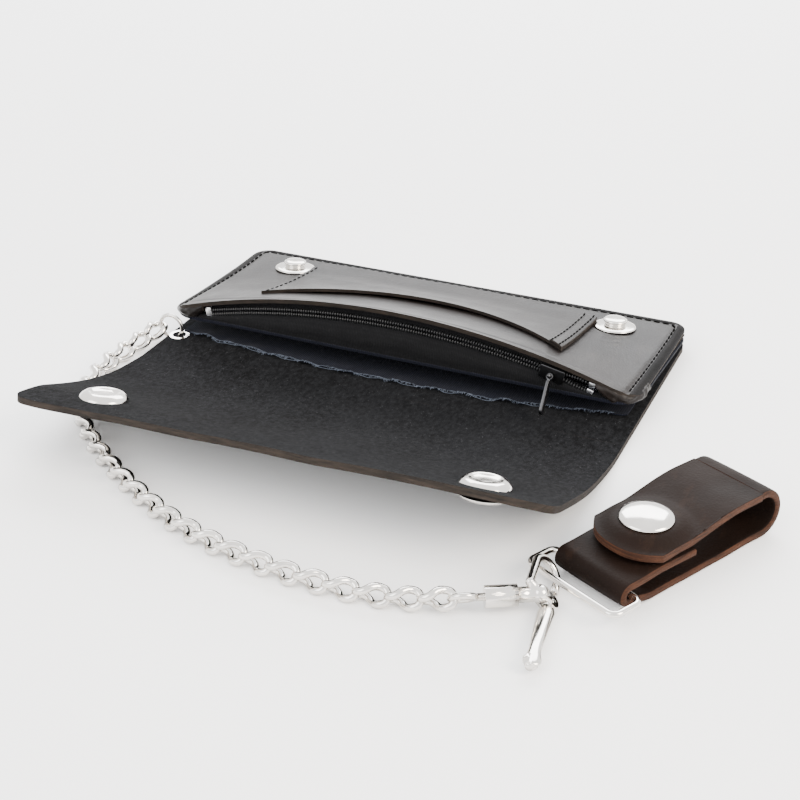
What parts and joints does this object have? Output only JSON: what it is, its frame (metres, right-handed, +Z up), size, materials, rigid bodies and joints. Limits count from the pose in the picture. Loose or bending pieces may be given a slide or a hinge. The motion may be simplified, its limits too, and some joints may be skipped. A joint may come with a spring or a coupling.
{
  "type": "chain wallet",
  "caption": "Long bifold leather wallet lying open, with a humped zip pocket, snap flap, curb chain, trigger clasp and leather belt loop.",
  "frame": {"origin": "on the underside of the back leather, midway along its length, below the zip pocket's mouth", "axes": "+X along the wallet's length, -Y towards the opened flap, +Z up"},
  "size_m": [0.2391, 0.2007, 0.0282],
  "materials": {
    "black_leather": "smooth waxed black leather",
    "rough_leather": "flesh side, charcoal, fibrous",
    "lining_cloth": "dark woven lining",
    "zip_tape": "black woven tape",
    "zip_coil": "black nylon coil",
    "dark_metal": "gunmetal",
    "brown_leather": "oiled dark brown leather",
    "white_metal": "bright crimped stop",
    "nickel": "polished nickel plate"
  },
  "bodies": {
    "wallet_base": {"outer_back": "black_leather", "bill_lining": "lining_cloth", "grommet": "nickel"},
    "spine": {"spine_panel": "black_leather"},
    "flap": {"outer_flap": "rough_leather", "snap_socket_left": "nickel", "snap_socket_right": "nickel", "snap_cap_left": "nickel", "snap_cap_right": "nickel"},
    "pocket": {"zip_pocket_floor": "black_leather", "top_panel": "black_leather", "end_seam_left": "black_leather", "end_seam_right": "black_leather", "slip_pocket": "black_leather", "zipper_tape_upper": "zip_tape", "zipper_tape_lower": "zip_tape", "zipper_coil_upper": "zip_coil", "zipper_coil_lower": "zip_coil", "zipper_bottom_stop": "white_metal", "zipper_top_stops": "white_metal", "snap_stud_left": "nickel", "snap_stud_right": "nickel", "stud_rivet_left": "nickel", "stud_rivet_right": "nickel"},
    "slider": {"slider_body": "dark_metal", "slider_crown": "dark_metal"},
    "pull": {"zip_pull": "dark_metal"},
    "ring": {"chain_ring": "nickel"},
    "chain_1": {"chain_run_1": "nickel"},
    "chain_2": {"chain_run_2": "nickel"},
    "chain_3": {"chain_run_3": "nickel"},
    "chain_4": {"chain_run_4": "nickel"},
    "chain_5": {"chain_run_5": "nickel"},
    "chain_6": {"chain_run_6": "nickel"},
    "chain_7": {"chain_run_7": "nickel"},
    "chain_8": {"chain_run_8": "nickel"},
    "swivel": {"swivel_eye": "nickel"},
    "clasp": {"clasp_body": "nickel", "lever_pin": "nickel"},
    "lever": {"trigger_lever": "nickel"},
    "loop": {"loop_ring": "nickel"},
    "strap": {"strap_base": "brown_leather", "strap_snap_stud": "nickel", "strap_stud_rivet": "nickel"},
    "tab": {"strap_tab": "brown_leather", "strap_snap_socket": "nickel", "strap_snap_cap": "nickel"}
  },
  "joints": [
    {"name": "spine_fold", "type": "hinge", "parent": "wallet_base", "child": "spine", "pos_m": [0, -0.0059, 0.0011], "axis": [-1, 0, 0], "range_deg": [0, 90]},
    {"name": "flap_fold", "type": "hinge", "parent": "spine", "child": "flap", "pos_m": [0, -0.0193, 0.0011], "axis": [-1, 0, 0], "range_deg": [0, 75.6]},
    {"name": "pocket_press", "type": "hinge", "parent": "wallet_base", "child": "pocket", "pos_m": [0, 0.069, 0.0036], "axis": [1, 0, 0], "range_deg": [0, 5.2], "deforming": ["top_panel", "slip_pocket", "zipper_tape_upper", "zipper_tape_lower", "zipper_coil_upper", "zipper_coil_lower"]},
    {"name": "slider_run", "type": "hinge", "parent": "pocket", "child": "slider", "pos_m": [0, 0, -0.2683], "axis": [0, 1, 0], "range_deg": [-24.82, 1.55]},
    {"name": "pull_swing", "type": "hinge", "parent": "slider", "child": "pull", "pos_m": [0.0585, -0.00185, 0.01574], "axis": [0, 0.788, -0.6157], "range_deg": [-30, 89]},
    {"name": "ring_swing", "type": "hinge", "parent": "wallet_base", "child": "ring", "pos_m": [-0.0836, -0.001, 0.0022], "axis": [1, 0, 0], "range_deg": [0, 12]},
    {"name": "chain_turn_1", "type": "hinge", "parent": "ring", "child": "chain_1", "pos_m": [-0.0913, -0.00047, 0.00525], "axis": [0, 0, 1], "range_deg": [-5, 1.5]},
    {"name": "chain_turn_2", "type": "hinge", "parent": "chain_1", "child": "chain_2", "pos_m": [-0.09445, -0.02752, 0.0034], "axis": [0, 0, 1], "range_deg": [-5, 1.5]},
    {"name": "chain_turn_3", "type": "hinge", "parent": "chain_2", "child": "chain_3", "pos_m": [-0.08943, -0.0541, 0.00303], "axis": [0, 0, 1], "range_deg": [-5, 1.5]},
    {"name": "chain_turn_4", "type": "hinge", "parent": "chain_3", "child": "chain_4", "pos_m": [-0.07299, -0.0757, 0.00304], "axis": [0, 0, 1], "range_deg": [-5, 1.5]},
    {"name": "chain_turn_5", "type": "hinge", "parent": "chain_4", "child": "chain_5", "pos_m": [-0.05127, -0.0922, 0.00305], "axis": [0, 0, 1], "range_deg": [-5, 1.5]},
    {"name": "chain_turn_6", "type": "hinge", "parent": "chain_5", "child": "chain_6", "pos_m": [-0.02762, -0.1058, 0.00305], "axis": [0, 0, 1], "range_deg": [-5, 1.5]},
    {"name": "chain_turn_7", "type": "hinge", "parent": "chain_6", "child": "chain_7", "pos_m": [-0.00196, -0.11496, 0.00304], "axis": [0, 0, 1], "range_deg": [-5, 1.5]},
    {"name": "chain_turn_8", "type": "hinge", "parent": "chain_7", "child": "chain_8", "pos_m": [0.03409, -0.11953, 0.00306], "axis": [0, 0, 1], "range_deg": [-5, 1.5]},
    {"name": "eye_turn", "type": "hinge", "parent": "chain_8", "child": "swivel", "pos_m": [0.06975, -0.11361, 0.00499], "axis": [0, 0, 1], "range_deg": [-8, 1.5]},
    {"name": "swivel_spin", "type": "hinge", "parent": "swivel", "child": "clasp", "pos_m": [0.07183, -0.11246, 0.00499], "axis": [0.8746, 0.4848, 0], "range_deg": [-120, 180]},
    {"name": "lever_press", "type": "hinge", "parent": "clasp", "child": "lever", "pos_m": [0.09267, -0.1019, 0.002], "axis": [0.7574, 0.1146, 0.6428], "range_deg": [0, 22], "stiffness_Nm_per_rad": 0.02, "springref_deg": -11.46},
    {"name": "loop_turn", "type": "hinge", "parent": "clasp", "child": "loop", "pos_m": [0.08879, -0.09299, 0.00499], "axis": [0, 0, 1], "range_deg": [-6, 12]},
    {"name": "strap_turn", "type": "hinge", "parent": "loop", "child": "strap", "pos_m": [0.10157, -0.08772, 0.0052], "axis": [0.891, -0.454, 0], "range_deg": [0, 40]},
    {"name": "tab_open", "type": "hinge", "parent": "strap", "child": "tab", "pos_m": [0.12607, -0.03965, 0.0146], "axis": [-0.891, 0.454, 0], "range_deg": [0, 90]}
  ],
  "couplings": [
    {"joint": "flap_fold", "follows": "spine_fold", "ratio": 0.84},
    {"joint": "pocket_press", "follows": "spine_fold", "ratio": 0.057778},
    {"joint": "pull_swing", "follows": "spine_fold", "ratio": 0.98889}
  ]
}
